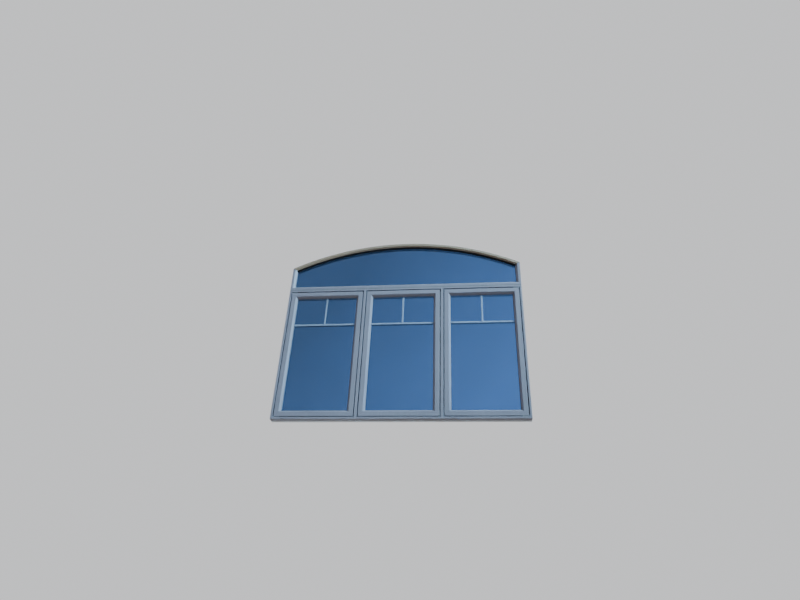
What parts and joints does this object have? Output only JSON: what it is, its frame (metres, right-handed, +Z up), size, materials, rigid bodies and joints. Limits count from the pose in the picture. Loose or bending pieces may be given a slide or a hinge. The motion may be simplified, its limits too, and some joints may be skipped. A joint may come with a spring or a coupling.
{
  "type": "arched casement window",
  "caption": "Arched vinyl window: casement lights side by side, the outer ones cranking outwards, below a fixed segmental light, with glass and grilles.",
  "frame": {"origin": "middle of the window's width and of its frame's depth, at the underside of the sill", "axes": "+X to the right as seen from outdoors, +Y from outdoors towards the room, +Z up"},
  "size_m": [2.49, 0.1379, 2.0648],
  "materials": {
    "frame_vinyl": "taupe-grey vinyl with a satin skin",
    "coupling_vinyl": "darker taupe vinyl",
    "sash_vinyl": "taupe-grey vinyl with a satin skin",
    "bead_vinyl": "off-white vinyl",
    "glass": "clear float glass with a faint blue coating",
    "spacer": "grey warm-edge spacer",
    "grille": "light taupe enamel on a flat aluminium bar",
    "gasket": "black rubber",
    "weatherstrip": "black foam bulb",
    "packer": "moulded packer",
    "hinge_steel": "stainless strip",
    "hardware_steel": "zinc-plated steel",
    "screw_steel": "stainless screws",
    "handle_enamel": "off-white enamel on a zinc casting"
  },
  "bodies": {
    "frame": {"arched_head": "frame_vinyl", "center_beads": "bead_vinyl", "center_grille": "grille", "center_inner_pane": "glass", "center_outer_pane": "glass", "center_packers": "packer", "center_sash": "sash_vinyl", "center_spacer": "spacer", "coupling_strip": "coupling_vinyl", "fixed_gaskets": "gasket", "frame_hinge_leaves": "hinge_steel", "frame_screws": "screw_steel", "head": "frame_vinyl", "left_jamb": "frame_vinyl", "left_lock_case": "handle_enamel", "left_mullion": "frame_vinyl", "left_operator_housing": "handle_enamel", "left_transom_jamb": "frame_vinyl", "right_jamb": "frame_vinyl", "right_lock_case": "handle_enamel", "right_mullion": "frame_vinyl", "right_operator_housing": "handle_enamel", "right_transom_jamb": "frame_vinyl", "sill": "frame_vinyl", "transom_beads": "bead_vinyl", "transom_inner_pane": "glass", "transom_outer_pane": "glass", "transom_sill": "frame_vinyl", "transom_spacer": "spacer", "weatherstrips": "weatherstrip"},
    "left_light": {"left_sash": "sash_vinyl", "left_outer_pane": "glass", "left_inner_pane": "glass", "left_spacer": "spacer", "left_grille": "grille", "left_beads": "bead_vinyl", "left_gasket": "gasket", "left_sash_hinge_leaves": "hinge_steel", "left_operator_track": "hardware_steel", "left_keepers": "hardware_steel", "left_sash_screws": "screw_steel"},
    "left_arm": {"left_operator_arm": "hardware_steel"},
    "left_crank": {"left_crank_handle": "handle_enamel"},
    "left_lever": {"left_lock_lever": "handle_enamel"},
    "left_tie": {"left_tie_bar": "hardware_steel"},
    "right_light": {"right_sash": "sash_vinyl", "right_outer_pane": "glass", "right_inner_pane": "glass", "right_spacer": "spacer", "right_grille": "grille", "right_beads": "bead_vinyl", "right_gasket": "gasket", "right_sash_hinge_leaves": "hinge_steel", "right_operator_track": "hardware_steel", "right_keepers": "hardware_steel", "right_sash_screws": "screw_steel"},
    "right_arm": {"right_operator_arm": "hardware_steel"},
    "right_crank": {"right_crank_handle": "handle_enamel"},
    "right_lever": {"right_lock_lever": "handle_enamel"},
    "right_tie": {"right_tie_bar": "hardware_steel"}
  },
  "joints": [
    {"name": "left_hinge", "type": "hinge", "parent": "frame", "child": "left_light", "pos_m": [-1.22, -0.041, 0], "axis": [0, 0, -1], "range_deg": [0, 60]},
    {"name": "left_arm_pivot", "type": "hinge", "parent": "frame", "child": "left_arm", "pos_m": [-0.997, 0.033, 0.021], "axis": [0, 0, -1], "range_deg": [0, 125]},
    {"name": "left_crank_turn", "type": "hinge", "parent": "frame", "child": "left_crank", "pos_m": [-0.972, 0.051, 0.04166], "axis": [0, 0.766, 0.6428], "range_deg": [0, 1920]},
    {"name": "left_lock", "type": "hinge", "parent": "frame", "child": "left_lever", "pos_m": [-0.4315, 0.054, 0.52], "axis": [-1, 0, 0], "range_deg": [0, 160]},
    {"name": "left_tie_slide", "type": "slide", "parent": "frame", "child": "left_tie", "axis": [0, 0, -1], "range_m": [0, 0.03]},
    {"name": "right_hinge", "type": "hinge", "parent": "frame", "child": "right_light", "pos_m": [1.22, -0.041, 0], "axis": [0, 0, 1], "range_deg": [0, 60]},
    {"name": "right_arm_pivot", "type": "hinge", "parent": "frame", "child": "right_arm", "pos_m": [0.997, 0.033, 0.021], "axis": [0, 0, 1], "range_deg": [0, 125]},
    {"name": "right_crank_turn", "type": "hinge", "parent": "frame", "child": "right_crank", "pos_m": [0.972, 0.051, 0.04166], "axis": [0, 0.766, 0.6428], "range_deg": [-1920, 0]},
    {"name": "right_lock", "type": "hinge", "parent": "frame", "child": "right_lever", "pos_m": [0.4315, 0.054, 0.52], "axis": [-1, 0, 0], "range_deg": [0, 160]},
    {"name": "right_tie_slide", "type": "slide", "parent": "frame", "child": "right_tie", "axis": [0, 0, -1], "range_m": [0, 0.03]}
  ],
  "couplings": [
    {"joint": "left_arm_pivot", "follows": "left_hinge", "ratio": 2.08},
    {"joint": "left_crank_turn", "follows": "left_hinge", "ratio": 32},
    {"joint": "left_tie_slide", "follows": "left_lock", "m_per_rad": 0.010742},
    {"joint": "right_arm_pivot", "follows": "right_hinge", "ratio": 2.08},
    {"joint": "right_crank_turn", "follows": "right_hinge", "ratio": -32},
    {"joint": "right_tie_slide", "follows": "right_lock", "m_per_rad": 0.010742}
  ]
}
